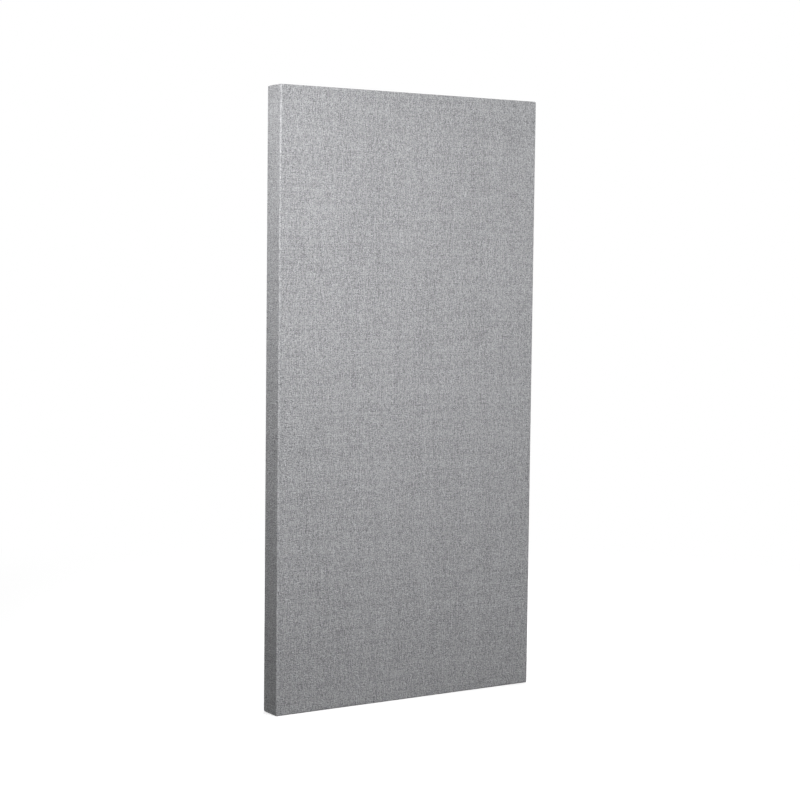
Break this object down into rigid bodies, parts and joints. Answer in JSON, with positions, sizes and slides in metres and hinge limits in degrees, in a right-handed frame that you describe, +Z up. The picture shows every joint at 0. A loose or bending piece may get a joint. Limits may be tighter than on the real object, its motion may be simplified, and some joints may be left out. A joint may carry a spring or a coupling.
{
  "type": "acoustic panel",
  "caption": "Wall-hung sound-absorbing panel: a wooden frame round a mineral-wool board, wrapped in grey heather cloth, with swinging D-ring hangers and rubber bumpers behind.",
  "frame": {"origin": "middle of the wall plane that the four bumpers touch, level with the panel's middle", "axes": "+Z up along the panel's height, +Y into the wall, +X to the right of a viewer who faces the cloth front"},
  "size_m": [0.6096, 0.0587, 1.2192],
  "materials": {
    "heather_cloth": "matte plain weave of light and dark grey yarns",
    "pine": "planed, unfinished",
    "plywood": "sawn, unfinished",
    "mineral_wool": "loose mineral fibre, pressed into a board",
    "glass_tissue": "thin matte tissue",
    "non_woven": "matte spun-bonded black",
    "zinc_steel": "bright zinc plating",
    "rubber": "matte black"
  },
  "bodies": {
    "panel": {"fabric_cover": "heather_cloth", "left_stile": "pine", "right_stile": "pine", "top_rail": "pine", "bottom_rail": "pine", "mid_brace": "pine", "gusset_top_left": "plywood", "gusset_top_right": "plywood", "gusset_bottom_left": "plywood", "gusset_bottom_right": "plywood", "core_board": "mineral_wool", "front_scrim": "glass_tissue", "dust_cover": "non_woven", "left_hanger_strap": "zinc_steel", "right_hanger_strap": "zinc_steel", "hanger_screw_left_upper": "zinc_steel", "hanger_screw_left_lower": "zinc_steel", "hanger_screw_right_upper": "zinc_steel", "hanger_screw_right_lower": "zinc_steel", "frame_screw_top_left_front": "zinc_steel", "frame_screw_top_left_rear": "zinc_steel", "frame_screw_top_right_front": "zinc_steel", "frame_screw_top_right_rear": "zinc_steel", "frame_screw_bottom_left_front": "zinc_steel", "frame_screw_bottom_left_rear": "zinc_steel", "frame_screw_bottom_right_front": "zinc_steel", "frame_screw_bottom_right_rear": "zinc_steel", "brace_screw_left_upper": "zinc_steel", "brace_screw_left_lower": "zinc_steel", "brace_screw_right_upper": "zinc_steel", "brace_screw_right_lower": "zinc_steel", "bumper_top_left": "rubber", "bumper_top_right": "rubber", "bumper_bottom_left": "rubber", "bumper_bottom_right": "rubber"},
    "left_ring": {"left_d_ring": "zinc_steel"},
    "right_ring": {"right_d_ring": "zinc_steel"}
  },
  "joints": [
    {"name": "left_ring_swing", "type": "hinge", "parent": "panel", "child": "left_ring", "pos_m": [-0.2912, -0.00365, 0.4596], "axis": [1, 0, 0], "range_deg": [0, 180]},
    {"name": "right_ring_swing", "type": "hinge", "parent": "panel", "child": "right_ring", "pos_m": [0.2912, -0.00365, 0.4596], "axis": [1, 0, 0], "range_deg": [0, 180]}
  ]
}
